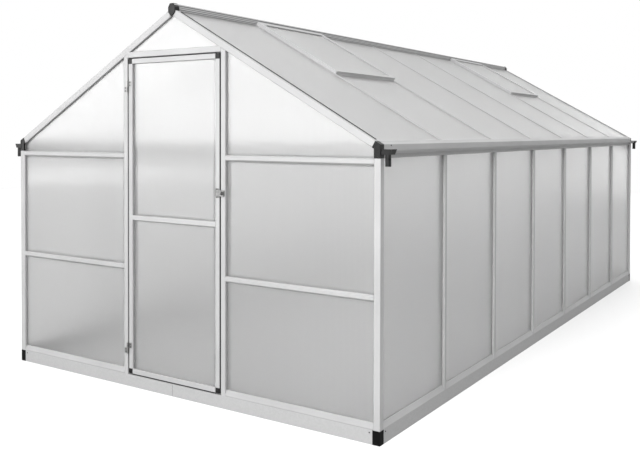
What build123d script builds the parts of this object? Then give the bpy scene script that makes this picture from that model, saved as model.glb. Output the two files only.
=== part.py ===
from build123d import *
import math
import os

# Gable greenhouse of extruded aluminium bars that hold thin twin-wall panels, with a hinged door in
# the front gable. Millimetres, +Z up, origin on the ground at the middle of the plan, door facing -Y.

# Whole building
wall_width = 2360.0
bay_count = 7
bay_pitch = 660.0
base_height = 62.0
eave_height = 1212.0
roof_rise = 665.0
half_width = wall_width / 2
half_length = bay_count * bay_pitch / 2

# Panels and the grooves that seat them
panel_thickness = 4.0
panel_inset = 13.0
roof_inset = 3.0
groove_play = 0.25
groove_depth = 9.0
edge_play = 1.0
flange_thickness = 2.0

# Bars
post_face = 32.0
bar_face = 21.0
bar_flange = 44.0
bar_stem = 13.0
bar_depth = 40.0
roof_bar_depth = 30.0
rail_face = 29.0
rail_bevel = 7.0
edge_bevel = 2.0
bolt_mouth = 5.0
bolt_channel = 9.0
bolt_channel_depth = 6.0
bolt_lip = 2.0

# Base frame and sill
base_wall = 2.0
base_flange = 34.0
block_leg = 36.0
block_wall = 4.0
sill_height = 30.0
sill_toe = 4.0
sill_lip = 2.0

# Eave beam, gutter and its black ends
eave_leg = 30.0
eave_wall_leg = 59.0
gutter_reach = 44.0
gutter_floor_width = 28.0
gutter_floor_drop = 39.0
gutter_lip_drop = 24.0
gutter_wall = 2.0
gutter_bead = 2.5
outlet_setback = 2.0
outlet_length = 46.0
outlet_socket = 8.0
outlet_reach = 52.0
outlet_floor_width = 42.0
outlet_floor_drop = 43.0
outlet_lip_drop = 20.0
outlet_wall = 2.5
spout_inset = 28.0
spout_setback = 15.0
spout_radius = 12.5
spout_bore = 10.0
spout_length = 50.0
eave_cap_depth = 30.0
eave_cap_thickness = 3.0
eave_cap_rim = 6.0
eave_cap_recess = 1.2
eave_cap_round = 1.0

# Ridge
ridge_leg = 30.0
ridge_box_width = 34.0
ridge_box_rise = 20.0
ridge_box_chamfer = 3.0
ridge_lip = 7.0
ridge_groove_depth = 3.0
ridge_groove_height = 3.5
ridge_cap_width = 46.0
ridge_cap_height = 67.0
ridge_cap_proud = 3.0
ridge_cap_thickness = 5.0
ridge_cap_depth = 28.0
ridge_cap_round = 2.0
ridge_cap_rim = 6.0
ridge_cap_recess = 1.2
ridge_cap_crown_share = 0.5
ridge_cap_shoulder_share = 0.72
ridge_cap_waist_share = 0.34

# Gable rails
mid_rail_height = 621.0
rear_column = 700.0

# Door
door_width = 610.0
door_side_gap = 8.0
door_foot_gap = 6.0
door_head_gap = 6.0
door_head_drop = 20.0
door_mid_height = 879.0
jamb_face = 27.0
jamb_flange = 50.0
jamb_stem = 12.0
head_face = 30.0
stile_face = 26.0
stile_flange = 50.0
stile_back = 13.0
door_inset = 12.0
door_depth = 26.0
door_rail_flange = 40.0

# Hinges and hasp
low_hinge_offset = 131.0
high_hinge_offset = 142.0
knuckle_radius = 5.0
knuckle_length = 28.0
hinge_pin_radius = 2.5
hinge_play = 0.2
hinge_leaf_width = 24.0
hinge_leaf_thickness = 2.0
hasp_height = 1030.0
hasp_plate_width = 22.0
hasp_plate_height = 46.0
hasp_plate_thickness = 2.0
hasp_strap_height = 30.0
hasp_strap_thickness = 2.5
hasp_stand_off = 7.5
hasp_boss_width = 14.0
hasp_boss_height = 20.0
hasp_slot_width = 10.0
hasp_slot_height = 20.0
hasp_corner = 5.0
tongue_width = 4.0
tongue_height = 13.0
tongue_reach = 21.0
tongue_hole = 3.0
keeper_plate_width = 22.0
keeper_plate_height = 26.0

# Roof vents
vent_skip_count = 1
vent_length = 602.0
vent_ridge_gap = 2.0
sash_play = 4.0
sash_face = 26.0
sash_depth = 16.0
sash_bite = 8.0
vent_sill_flange = 40.0

# Worked-out sizes
knee_height = eave_height + eave_wall_leg
apex_height = knee_height + roof_rise
roof_pitch = math.atan2(roof_rise, half_width)
slope_length = math.hypot(roof_rise, half_width)
up_slope = Vector(-math.cos(roof_pitch), 0, math.sin(roof_pitch))
roof_inward = Vector(-math.sin(roof_pitch), 0, -math.cos(roof_pitch))
groove_outer = panel_inset - groove_play
groove_inner = panel_inset + panel_thickness + groove_play
flange_inner = groove_inner + flange_thickness
sill_top = base_height + sill_height
bar_places = [bay * bay_pitch - half_length for bay in range(1, bay_count)]
bay_centres = [(bay + 0.5) * bay_pitch - half_length for bay in range(bay_count)]
vent_bays = (vent_skip_count, bay_count - 1 - vent_skip_count)
opening_half = door_width / 2 + door_side_gap
rafter_underside = apex_height - post_face / math.cos(roof_pitch) - opening_half * math.tan(roof_pitch)
head_bottom = rafter_underside - door_head_drop
door_top = head_bottom - door_head_gap
door_bottom = base_height + door_foot_gap
eave_rail_height = eave_height - rail_face / 2
vent_top = slope_length - ridge_box_width / 2 / math.cos(roof_pitch) - vent_ridge_gap
vent_foot = vent_top - vent_length
vent_sill_top = vent_foot + sash_face

right_angle = math.radians(90)
across = Vector(1, 0, 0)
rearward = Vector(0, 1, 0)
upward = Vector(0, 0, 1)


# Section outlines. The first coordinate runs along the wall and the second inwards from its outer face.
def bar_outline(face, flange, stem, depth, bevel, inset):
    outer = inset - groove_play
    inner = inset + panel_thickness + groove_play
    channel_mouth = depth - bolt_lip
    half = [
        (face / 2 - bevel, 0),
        (face / 2, bevel),
        (face / 2, outer),
        (face / 2 - groove_depth, outer),
        (face / 2 - groove_depth, inner),
        (flange / 2, inner),
        (flange / 2, inner + flange_thickness),
        (stem / 2, inner + flange_thickness),
        (stem / 2, depth),
        (bolt_mouth / 2, depth),
        (bolt_mouth / 2, channel_mouth),
        (bolt_channel / 2, channel_mouth),
        (bolt_channel / 2, channel_mouth - bolt_channel_depth),
    ]
    return half + [(-along, deep) for along, deep in reversed(half)]


def edge_outline(face, flange, back, depth, inset):
    outer = inset - groove_play
    inner = inset + panel_thickness + groove_play
    return [
        (0, edge_bevel),
        (edge_bevel, 0),
        (face - edge_bevel, 0),
        (face, edge_bevel),
        (face, outer),
        (face - groove_depth, outer),
        (face - groove_depth, inner),
        (flange, inner),
        (flange, inner + flange_thickness),
        (back, inner + flange_thickness),
        (back, depth),
        (0, depth),
    ]


def leg_points(leg, inset):
    outer = inset - groove_play
    inner = inset + panel_thickness + groove_play
    return [
        (leg - edge_bevel, 0),
        (leg, edge_bevel),
        (leg, outer),
        (leg - groove_depth, outer),
        (leg - groove_depth, inner),
        (leg, inner),
        (leg, inner + flange_thickness),
    ]


def other_leg(point, angle):
    along, deep = point
    turned_along = along * math.cos(angle) + deep * math.sin(angle)
    turned_deep = along * math.sin(angle) - deep * math.cos(angle)
    return (turned_along, turned_deep)


def corner_outline(first_leg, first_inset, second_leg, second_inset, angle):
    first = leg_points(first_leg, first_inset)
    second = leg_points(second_leg, second_inset)
    first_depth = first[-1][1]
    second_depth = second[-1][1]
    corner_along = (second_depth + first_depth * math.cos(angle)) / math.sin(angle)
    turned = [other_leg(point, angle) for point in reversed(second)]
    return [(0, 0)] + first + [(corner_along, first_depth)] + turned


def angle_outline(first_leg, second_leg, depth, angle):
    inner_corner = (depth / math.tan(angle / 2), depth)
    second = [other_leg(point, angle) for point in ((second_leg, depth), (second_leg, 0))]
    return [(0, 0), (first_leg, 0), (first_leg, depth), inner_corner] + second


def trough_outline(reach, floor_width, floor_drop, lip_drop, wall):
    flare = (reach - floor_width) / (floor_drop - lip_drop)
    inner_floor = floor_width - wall + flare * wall
    return [
        (floor_drop, 0),
        (floor_drop, -floor_width),
        (lip_drop, -reach),
        (lip_drop, wall - reach),
        (floor_drop - wall, -inner_floor),
        (floor_drop - wall, 0),
    ]


def section_plane(corner, inward, along):
    return Plane(origin=corner, x_dir=inward.cross(along), z_dir=along)


def roof_point(distance, place):
    rise = up_slope * distance
    return Vector(half_width + rise.X, place, knee_height + rise.Z)


def roof_line(depth, place):
    return apex_height - depth / math.cos(roof_pitch) - abs(place) * math.tan(roof_pitch)


def extrude_outline(plane, points, length):
    with BuildSketch(plane) as section:
        with BuildLine():
            Polyline(*points, close=True)
        make_face()
    extrude(section.sketch, amount=length)


os.makedirs("parts", exist_ok=True)
pieces = {}

# Base frame: channels with the open side inwards, between black corner blocks
base_outline = [
    (0, 0),
    (base_height, 0),
    (base_height, base_flange),
    (base_height - base_wall, base_flange),
    (base_height - base_wall, base_wall),
    (base_wall, base_wall),
    (base_wall, base_flange),
    (0, base_flange),
]
base_front_start = Vector(half_width - block_leg, -half_length, 0)
base_side_start = Vector(half_width, half_length - block_leg, 0)

with BuildPart() as base_front:
    base_plane = section_plane(base_front_start, rearward, -across)
    extrude_outline(base_plane, base_outline, wall_width - 2 * block_leg)
pieces["base_front"] = base_front.part

with BuildPart() as base_rear:
    mirror(base_front.part, about=Plane.XZ)
pieces["base_rear"] = base_rear.part

with BuildPart() as base_right:
    base_plane = section_plane(base_side_start, -across, -rearward)
    extrude_outline(base_plane, base_outline, 2 * (half_length - block_leg))
pieces["base_right"] = base_right.part

with BuildPart() as base_left:
    mirror(base_right.part, about=Plane.YZ)
pieces["base_left"] = base_left.part

with BuildPart() as base_corner_blocks:
    block_centre = (half_width - block_leg / 2, -half_length + block_leg / 2)
    with BuildSketch():
        with Locations(block_centre):
            Rectangle(block_leg, block_leg)
    extrude(amount=base_height)
    fillet(base_corner_blocks.edges().filter_by(Axis.Z).sort_by(Axis.X)[-1:], edge_bevel)
    with BuildSketch():
        with Locations(block_centre):
            Rectangle(block_leg - 2 * block_wall, block_leg - 2 * block_wall)
    extrude(amount=base_height - block_wall, mode=Mode.SUBTRACT)
    mirror(about=Plane.YZ)
    mirror(about=Plane.XZ)
pieces["base_corner_blocks"] = base_corner_blocks.part

# Sills: sloped rails on the base with an upward groove for the panels
sill_outline = [
    (0, 0),
    (sill_toe, 0),
    (sill_height, groove_outer - sill_lip),
    (sill_height, groove_outer),
    (sill_height - groove_depth, groove_outer),
    (sill_height - groove_depth, groove_inner),
    (sill_height, groove_inner),
    (sill_height, groove_inner + sill_lip),
    (0, groove_inner + sill_lip),
]
jamb_edge = opening_half + jamb_face

with BuildPart() as front_sills:
    sill_plane = section_plane((half_width - post_face, -half_length, base_height), rearward, -across)
    extrude_outline(sill_plane, sill_outline, half_width - post_face - jamb_edge)
    mirror(about=Plane.YZ)
pieces["front_sills"] = front_sills.part

with BuildPart() as rear_sill:
    sill_plane = section_plane((-half_width + post_face, half_length, base_height), -rearward, across)
    extrude_outline(sill_plane, sill_outline, wall_width - 2 * post_face)
pieces["rear_sill"] = rear_sill.part

with BuildPart() as right_sill:
    sill_start = (half_width, half_length - post_face, base_height)
    sill_plane = section_plane(sill_start, -across, -rearward)
    extrude_outline(sill_plane, sill_outline, 2 * (half_length - post_face))
pieces["right_sill"] = right_sill.part

with BuildPart() as left_sill:
    mirror(right_sill.part, about=Plane.YZ)
pieces["left_sill"] = left_sill.part

# Corner posts
with BuildPart() as corner_posts:
    post_plane = section_plane((half_width, -half_length, base_height), -across, upward)
    post_outline = corner_outline(post_face, panel_inset, post_face, panel_inset, right_angle)
    extrude_outline(post_plane, post_outline, eave_height - base_height)
    mirror(about=Plane.YZ)
    mirror(about=Plane.XZ)
pieces["corner_posts"] = corner_posts.part

# Wall bars, their feet cut to the slope of the sill
with BuildPart() as right_wall_bars:
    for place in bar_places:
        bar_plane = section_plane((half_width, place, base_height), -across, upward)
        wall_bar = bar_outline(bar_face, bar_flange, bar_stem, bar_depth, edge_bevel, panel_inset)
        extrude_outline(bar_plane, wall_bar, eave_height - base_height)
    add(right_sill.part, mode=Mode.SUBTRACT)
pieces["right_wall_bars"] = right_wall_bars.part

with BuildPart() as left_wall_bars:
    mirror(right_wall_bars.part, about=Plane.YZ)
pieces["left_wall_bars"] = left_wall_bars.part

# Eave beam and gutter in one extrusion, between black end caps
eave_angle = right_angle + roof_pitch
eave_outline = corner_outline(eave_wall_leg, panel_inset, eave_leg, roof_inset, eave_angle)
knee = Vector(half_width, -half_length, knee_height)

with BuildPart() as right_eave_beam:
    eave_plane = section_plane(knee + rearward * eave_cap_depth, -across, rearward)
    extrude_outline(eave_plane, eave_outline, 2 * (half_length - eave_cap_depth))
    gutter_start = outlet_setback + outlet_length - outlet_socket
    gutter_length = 2 * (half_length - gutter_start)
    gutter_plane = section_plane(knee + rearward * gutter_start, -across, rearward)
    gutter_outline = trough_outline(
        gutter_reach, gutter_floor_width, gutter_floor_drop, gutter_lip_drop, gutter_wall
    )
    extrude_outline(gutter_plane, gutter_outline, gutter_length)
    with BuildSketch(gutter_plane):
        with Locations((gutter_lip_drop + gutter_bead, 2 * gutter_bead - gutter_reach)):
            Circle(gutter_bead)
    extrude(amount=gutter_length)
pieces["right_eave_beam"] = right_eave_beam.part

with BuildPart() as left_eave_beam:
    mirror(right_eave_beam.part, about=Plane.YZ)
pieces["left_eave_beam"] = left_eave_beam.part

# Eave end caps: the beam's section closed by a rimmed plate
with BuildPart() as eave_end_caps:
    extrude_outline(section_plane(knee, -across, rearward), eave_outline, eave_cap_depth)
    plate_plane = section_plane(knee - rearward * eave_cap_thickness, -across, rearward)
    plate_outline = angle_outline(eave_wall_leg, eave_leg, post_face, eave_angle)
    extrude_outline(plate_plane, plate_outline, eave_cap_thickness)
    chamfer(eave_end_caps.faces().sort_by(Axis.Y)[0].edges(), eave_cap_round)
    with BuildSketch(plate_plane):
        with BuildLine():
            Polyline(*plate_outline, close=True)
        make_face()
        offset(amount=-eave_cap_rim, kind=Kind.INTERSECTION)
    extrude(amount=eave_cap_recess, mode=Mode.SUBTRACT)
    mirror(about=Plane.YZ)
    mirror(about=Plane.XZ)
pieces["eave_end_caps"] = eave_end_caps.part

# Outlets: a closed trough that takes the gutter's end, over a down spout
spout_centre = (half_width + spout_inset, spout_setback - half_length)
spout_plane = Plane.XY.offset(knee_height - outlet_floor_drop)

with BuildPart() as gutter_outlets:
    outlet_plane = section_plane(knee + rearward * outlet_setback, -across, rearward)
    outlet_outline = trough_outline(
        outlet_reach, outlet_floor_width, outlet_floor_drop, outlet_lip_drop, outlet_wall
    )
    outlet_side = [(outlet_lip_drop, 0)] + outlet_outline[:3]
    extrude_outline(outlet_plane, outlet_side, outlet_wall)
    extrude_outline(outlet_plane, outlet_outline, outlet_length)
    with BuildSketch(spout_plane):
        with Locations(spout_centre):
            Circle(spout_bore)
    extrude(amount=outlet_wall, mode=Mode.SUBTRACT)
    mirror(about=Plane.YZ)
    mirror(about=Plane.XZ)
pieces["gutter_outlets"] = gutter_outlets.part

with BuildPart() as gutter_spouts:
    with BuildSketch(spout_plane):
        with Locations(spout_centre):
            Circle(spout_radius)
            Circle(spout_bore, mode=Mode.SUBTRACT)
    extrude(amount=-spout_length)
    mirror(about=Plane.YZ)
    mirror(about=Plane.XZ)
pieces["gutter_spouts"] = gutter_spouts.part

# Ridge beam: two grooved legs under a box with grooved sides
with BuildPart() as ridge_beam:
    apex = Vector(0, -half_length, apex_height)
    ridge_plane = section_plane(apex, roof_inward, rearward)
    ridge_angle = 2 * (right_angle - roof_pitch)
    ridge_outline = corner_outline(ridge_leg, roof_inset, ridge_leg, roof_inset, ridge_angle)
    extrude_outline(ridge_plane, ridge_outline, 2 * half_length)
    box_half = ridge_box_width / 2
    box_foot = roof_line(0, box_half)
    ridge_top = apex_height + ridge_box_rise
    groove_top = ridge_top - ridge_lip
    box_side = [
        (ridge_groove_depth - box_half, box_foot),
        (ridge_groove_depth - box_half, box_foot + ridge_groove_height),
        (-box_half, box_foot + ridge_groove_height),
        (-box_half, groove_top - ridge_groove_height),
        (ridge_groove_depth - box_half, groove_top - ridge_groove_height),
        (ridge_groove_depth - box_half, groove_top),
        (-box_half, groove_top),
        (-box_half, ridge_top - ridge_box_chamfer),
        (ridge_box_chamfer - box_half, ridge_top),
    ]
    box_outline = box_side + [(-x, z) for x, z in reversed(box_side)] + [(0, apex_height)]
    extrude_outline(Plane.XZ.offset(-half_length), box_outline, 2 * half_length)
pieces["ridge_beam"] = ridge_beam.part

# Ridge end caps: a rimmed plate on the gable with a sleeve over the ridge beam
with BuildPart() as ridge_end_caps:
    cap_half = ridge_cap_width / 2
    cap_top = ridge_top + ridge_cap_proud
    cap_bottom = cap_top - ridge_cap_height
    cap_shoulder = (cap_half, cap_bottom + ridge_cap_height * ridge_cap_shoulder_share)
    cap_crown = (cap_half * ridge_cap_crown_share, cap_top)
    cap_waist = (cap_half, cap_bottom + ridge_cap_height * ridge_cap_waist_share)
    cap_side = [cap_waist, cap_shoulder, cap_crown]
    cap_points = [(0, cap_bottom)] + cap_side + [(-x, z) for x, z in reversed(cap_side)]
    gable_plane = Plane.XZ.offset(half_length)
    extrude_outline(gable_plane, cap_points, ridge_cap_thickness)
    chamfer(ridge_end_caps.faces().sort_by(Axis.Y)[0].edges(), ridge_cap_round)
    with BuildSketch(gable_plane.offset(ridge_cap_thickness)):
        with BuildLine():
            Polyline(*cap_points, close=True)
        make_face()
        offset(amount=-ridge_cap_rim, kind=Kind.INTERSECTION)
    extrude(amount=-ridge_cap_recess, mode=Mode.SUBTRACT)
    sleeve_side = [(cap_half, roof_line(0, cap_half)), cap_shoulder, cap_crown]
    sleeve_points = [(0, apex_height)] + sleeve_side + [(-x, z) for x, z in reversed(sleeve_side)]
    extrude_outline(gable_plane, sleeve_points, -ridge_cap_depth)
    add(ridge_beam.part, mode=Mode.SUBTRACT)
    mirror(about=Plane.XZ)
pieces["ridge_end_caps"] = ridge_end_caps.part

# Gable rafters and roof bars
roof_bar_length = slope_length - eave_leg - ridge_leg

with BuildPart() as front_rafters:
    rafter_plane = section_plane(roof_point(eave_leg, -half_length), roof_inward, up_slope)
    rafter_outline = corner_outline(post_face, roof_inset, post_face, panel_inset, right_angle)
    extrude_outline(rafter_plane, rafter_outline, roof_bar_length)
    mirror(about=Plane.YZ)
pieces["front_rafters"] = front_rafters.part

with BuildPart() as rear_rafters:
    mirror(front_rafters.part, about=Plane.XZ)
pieces["rear_rafters"] = rear_rafters.part

with BuildPart() as right_roof_bars:
    for place in bar_places:
        bar_plane = section_plane(roof_point(eave_leg, place), roof_inward, up_slope)
        roof_bar = bar_outline(bar_face, bar_flange, bar_stem, roof_bar_depth, edge_bevel, roof_inset)
        extrude_outline(bar_plane, roof_bar, roof_bar_length)
pieces["right_roof_bars"] = right_roof_bars.part

with BuildPart() as left_roof_bars:
    mirror(right_roof_bars.part, about=Plane.YZ)
pieces["left_roof_bars"] = left_roof_bars.part

# Front gable: jambs up to the rafters, head over the door, eave and middle rails
with BuildPart() as door_jambs:
    jamb_plane = section_plane((opening_half, -half_length, base_height), rearward, upward)
    jamb_outline = edge_outline(jamb_face, jamb_flange, jamb_stem, bar_depth, panel_inset)
    extrude_outline(jamb_plane, jamb_outline, apex_height - base_height)
    rafter_cut = Plane(origin=apex + roof_inward * post_face, z_dir=-roof_inward)
    split(bisect_by=rafter_cut, keep=Keep.BOTTOM)
    mirror(about=Plane.YZ)
    add(front_sills.part, mode=Mode.SUBTRACT)
pieces["door_jambs"] = door_jambs.part

with BuildPart() as door_head:
    head_plane = section_plane((opening_half, -half_length, head_bottom), rearward, -across)
    head_outline = edge_outline(head_face, head_face, jamb_stem, bar_depth, panel_inset)
    extrude_outline(head_plane, head_outline, 2 * opening_half)
    add(front_rafters.part, mode=Mode.SUBTRACT)
pieces["door_head"] = door_head.part

rail_outline = bar_outline(rail_face, bar_flange, bar_stem, bar_depth, rail_bevel, panel_inset)

with BuildPart() as front_rails:
    for height in (mid_rail_height, eave_rail_height):
        rail_plane = section_plane((jamb_edge, -half_length, height), rearward, across)
        extrude_outline(rail_plane, rail_outline, half_width - post_face - jamb_edge)
    mirror(about=Plane.YZ)
    add(door_jambs.part, mode=Mode.SUBTRACT)
pieces["front_rails"] = front_rails.part

# Rear gable: two posts and three columns of rails
with BuildPart() as rear_posts:
    rear_plane = section_plane((rear_column / 2, half_length, base_height), -rearward, upward)
    post_bar = bar_outline(rail_face, bar_flange, bar_stem, bar_depth, edge_bevel, panel_inset)
    extrude_outline(rear_plane, post_bar, apex_height - base_height)
    split(bisect_by=rafter_cut, keep=Keep.BOTTOM)
    mirror(about=Plane.YZ)
    add(rear_sill.part, mode=Mode.SUBTRACT)
pieces["rear_posts"] = rear_posts.part

rear_post_inner = rear_column / 2 - rail_face / 2
rear_post_outer = rear_column / 2 + rail_face / 2

with BuildPart() as rear_rails:
    for height in (mid_rail_height, eave_rail_height):
        rail_plane = section_plane((rear_post_outer, half_length, height), -rearward, across)
        extrude_outline(rail_plane, rail_outline, half_width - post_face - rear_post_outer)
        middle_plane = section_plane((-rear_post_inner, half_length, height), -rearward, across)
        extrude_outline(middle_plane, rail_outline, 2 * rear_post_inner)
    mirror(about=Plane.YZ)
    add(rear_posts.part, mode=Mode.SUBTRACT)
pieces["rear_rails"] = rear_rails.part

# Wall panels of the long sides, in the grooves of bars, sill and eave beam
bar_bite = bar_face / 2 - groove_depth + edge_play
corner_bite = post_face - groove_depth + edge_play
panel_middle = panel_inset + panel_thickness / 2
panel_foot = sill_top - groove_depth + edge_play
panel_head = eave_height + groove_depth - edge_play


def bay_spans():
    edges = [-half_length] + bar_places + [half_length]
    bites = [corner_bite] + [bar_bite] * len(bar_places) + [corner_bite]
    spans = []
    for bay in range(bay_count):
        start = edges[bay] + bites[bay]
        end = edges[bay + 1] - bites[bay + 1]
        spans.append(((start + end) / 2, end - start))
    return spans


with BuildPart() as right_wall_panels:
    with BuildSketch(section_plane((half_width, 0, panel_foot), -across, upward)):
        for centre, width in bay_spans():
            with Locations((centre, panel_middle)):
                Rectangle(width, panel_thickness)
    extrude(amount=panel_head - panel_foot)
pieces["right_wall_panels"] = right_wall_panels.part

with BuildPart() as left_wall_panels:
    mirror(right_wall_panels.part, about=Plane.YZ)
pieces["left_wall_panels"] = left_wall_panels.part

# Roof panels: whole bays, and short ones below the vents
roof_foot = eave_leg - groove_depth + edge_play
roof_head = slope_length - ridge_leg + groove_depth - edge_play
vent_panel_head = vent_sill_top - rail_face + groove_depth - edge_play

with BuildPart() as right_roof_panels:
    for bay, (centre, width) in enumerate(bay_spans()):
        bay_head = vent_panel_head if bay in vent_bays else roof_head
        with BuildSketch(section_plane(roof_point(roof_foot, 0), roof_inward, up_slope)):
            with Locations((centre, roof_inset + panel_thickness / 2)):
                Rectangle(width, panel_thickness)
        extrude(amount=bay_head - roof_foot)
pieces["right_roof_panels"] = right_roof_panels.part

with BuildPart() as left_roof_panels:
    mirror(right_roof_panels.part, about=Plane.YZ)
pieces["left_roof_panels"] = left_roof_panels.part

# Roof vents: a sill bar across the bay, and a sash that lies on the bars
with BuildPart() as right_vent_sills:
    for bay in vent_bays:
        sill_start = roof_point(vent_sill_top, bay_centres[bay] - bay_pitch / 2 + bar_face / 2)
        vent_plane = section_plane(sill_start, roof_inward, rearward)
        vent_outline = edge_outline(rail_face, vent_sill_flange, jamb_stem, roof_bar_depth, roof_inset)
        extrude_outline(vent_plane, vent_outline, bay_pitch - bar_face)
    add(right_roof_bars.part, mode=Mode.SUBTRACT)
pieces["right_vent_sills"] = right_vent_sills.part

with BuildPart() as left_vent_sills:
    mirror(right_vent_sills.part, about=Plane.YZ)
pieces["left_vent_sills"] = left_vent_sills.part

sash_width = bay_pitch - sash_play
glass_width = sash_width - 2 * sash_face
glass_length = vent_length - 2 * sash_face
sash_groove = panel_thickness + 2 * groove_play
pane_edge = sash_bite - edge_play


def sash_plane(bay, height):
    middle = roof_point(vent_foot + vent_length / 2, bay_centres[bay])
    return Plane(origin=middle - roof_inward * height, x_dir=rearward, z_dir=-roof_inward)


with BuildPart() as right_vent_sashes:
    for bay in vent_bays:
        with BuildSketch(sash_plane(bay, 0)):
            Rectangle(sash_width, vent_length)
            Rectangle(glass_width, glass_length, mode=Mode.SUBTRACT)
        extrude(amount=sash_depth)
        with BuildSketch(sash_plane(bay, sash_depth / 2 - sash_groove / 2)):
            Rectangle(glass_width + 2 * sash_bite, glass_length + 2 * sash_bite)
        extrude(amount=sash_groove, mode=Mode.SUBTRACT)
pieces["right_vent_sashes"] = right_vent_sashes.part

with BuildPart() as left_vent_sashes:
    mirror(right_vent_sashes.part, about=Plane.YZ)
pieces["left_vent_sashes"] = left_vent_sashes.part

with BuildPart() as right_vent_panes:
    for bay in vent_bays:
        with BuildSketch(sash_plane(bay, sash_depth / 2 - panel_thickness / 2)):
            Rectangle(glass_width + 2 * pane_edge, glass_length + 2 * pane_edge)
        extrude(amount=panel_thickness)
pieces["right_vent_panes"] = right_vent_panes.part

with BuildPart() as left_vent_panes:
    mirror(right_vent_panes.part, about=Plane.YZ)
pieces["left_vent_panes"] = left_vent_panes.part

# Gable panels
rail_bite = rail_face / 2 - groove_depth + edge_play
jamb_bite = opening_half + jamb_face - groove_depth + edge_play
eave_bite = max(corner_bite, flange_inner + edge_play)
rafter_bite = post_face - groove_depth + edge_play
low_span = (panel_foot, mid_rail_height - rail_bite)
middle_span = (mid_rail_height + rail_bite, eave_rail_height - rail_bite)
gable_foot = eave_rail_height + rail_bite
front_face = Plane.XZ.offset(half_length - panel_inset)
rear_face = Plane.XZ.offset(panel_inset - half_length)


with BuildPart() as front_wall_panels:
    for foot, head in (low_span, middle_span):
        with BuildSketch(front_face):
            with Locations(((jamb_bite + half_width - corner_bite) / 2, (foot + head) / 2)):
                Rectangle(half_width - corner_bite - jamb_bite, head - foot)
        extrude(amount=-panel_thickness)
    mirror(about=Plane.YZ)
pieces["front_wall_panels"] = front_wall_panels.part

with BuildPart() as front_gable_panels:
    outer_edge = half_width - eave_bite
    side_points = [
        (jamb_bite, gable_foot),
        (outer_edge, gable_foot),
        (outer_edge, roof_line(rafter_bite, outer_edge)),
        (jamb_bite, roof_line(rafter_bite, jamb_bite)),
    ]
    extrude_outline(front_face, side_points, -panel_thickness)
    mirror(about=Plane.YZ)
    top_foot = head_bottom + head_face - groove_depth + edge_play
    top_half = opening_half - edge_play
    top_shoulder = roof_line(rafter_bite, top_half)
    top_points = [
        (-top_half, top_foot),
        (top_half, top_foot),
        (top_half, top_shoulder),
        (0, roof_line(rafter_bite, 0)),
        (-top_half, top_shoulder),
    ]
    extrude_outline(front_face, top_points, -panel_thickness)
pieces["front_gable_panels"] = front_gable_panels.part

# Rear gable panels: the middle column replaces the door
rear_side_bite = rear_column / 2 + rail_bite
rear_middle_bite = rear_column / 2 - rail_bite

with BuildPart() as rear_wall_panels:
    for foot, head in (low_span, middle_span):
        with BuildSketch(rear_face):
            with Locations((0, (foot + head) / 2)):
                Rectangle(2 * rear_middle_bite, head - foot)
            for side in (-1, 1):
                with Locations((side * (rear_side_bite + half_width - corner_bite) / 2, (foot + head) / 2)):
                    Rectangle(half_width - corner_bite - rear_side_bite, head - foot)
        extrude(amount=panel_thickness)
pieces["rear_wall_panels"] = rear_wall_panels.part

with BuildPart() as rear_gable_panels:
    side_points = [
        (rear_side_bite, gable_foot),
        (outer_edge, gable_foot),
        (outer_edge, roof_line(rafter_bite, outer_edge)),
        (rear_side_bite, roof_line(rafter_bite, rear_side_bite)),
    ]
    extrude_outline(rear_face, side_points, panel_thickness)
    mirror(about=Plane.YZ)
    shoulder = roof_line(rafter_bite, rear_middle_bite)
    middle_points = [
        (-rear_middle_bite, gable_foot),
        (rear_middle_bite, gable_foot),
        (rear_middle_bite, shoulder),
        (0, roof_line(rafter_bite, 0)),
        (-rear_middle_bite, shoulder),
    ]
    extrude_outline(rear_face, middle_points, panel_thickness)
pieces["rear_gable_panels"] = rear_gable_panels.part

# Door: stiles and rails joined by black corner blocks, with two panes
door_half = door_width / 2
stile_foot = door_bottom + stile_face
stile_head = door_top - stile_face
stile_outline = edge_outline(stile_face, stile_flange, stile_back, door_depth, door_inset)
door_rail_outline = edge_outline(stile_face, stile_face, stile_back, door_depth, door_inset)

with BuildPart() as door_stiles:
    stile_plane = section_plane((-door_half, -half_length, stile_foot), rearward, upward)
    extrude_outline(stile_plane, stile_outline, stile_head - stile_foot)
    mirror(about=Plane.YZ)
pieces["door_stiles"] = door_stiles.part

with BuildPart() as door_rails:
    rail_length = door_width - 2 * stile_face
    foot_plane = section_plane((rail_length / 2, -half_length, door_bottom), rearward, -across)
    extrude_outline(foot_plane, door_rail_outline, rail_length)
    head_plane = section_plane((-rail_length / 2, -half_length, door_top), rearward, across)
    extrude_outline(head_plane, door_rail_outline, rail_length)
    middle_plane = section_plane((-rail_length / 2, -half_length, door_mid_height), rearward, across)
    middle_outline = bar_outline(
        stile_face, door_rail_flange, stile_back, door_depth + flange_thickness, edge_bevel, door_inset
    )
    extrude_outline(middle_plane, middle_outline, rail_length)
    add(door_stiles.part, mode=Mode.SUBTRACT)
pieces["door_rails"] = door_rails.part

pane_half = door_half - stile_face + groove_depth - edge_play
pane_foot = door_bottom + stile_face - groove_depth + edge_play
pane_head = door_top - stile_face + groove_depth - edge_play
middle_bite = stile_face / 2 - groove_depth + edge_play

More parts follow.
